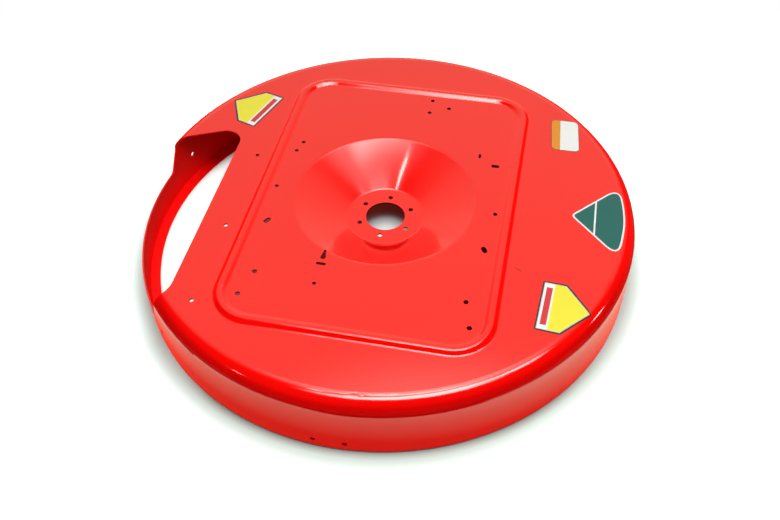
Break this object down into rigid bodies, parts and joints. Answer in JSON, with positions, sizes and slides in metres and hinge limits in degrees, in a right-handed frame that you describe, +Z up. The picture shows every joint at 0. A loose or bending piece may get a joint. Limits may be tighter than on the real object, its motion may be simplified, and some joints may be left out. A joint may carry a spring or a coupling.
{
  "type": "lawn mower deck shell",
  "caption": "Round pressed-steel mower deck shell with a dished spindle seat, a raised rectangular bead, a side discharge cut-out and punched mounting holes.",
  "frame": {"origin": "centre of the mouth, on the plane that the rim stands on", "axes": "+Z up along the spindle bore, -X towards the discharge cut-out, -Y towards the front pair of skirt holes"},
  "size_m": [0.88, 0.88, 0.1315],
  "materials": {
    "red_paint": "gloss powder coat on pressed steel",
    "label_film": "printed vinyl film under a clear laminate"
  },
  "bodies": {
    "root": {"deck_shell": "red_paint"}
  },
  "joints": []
}
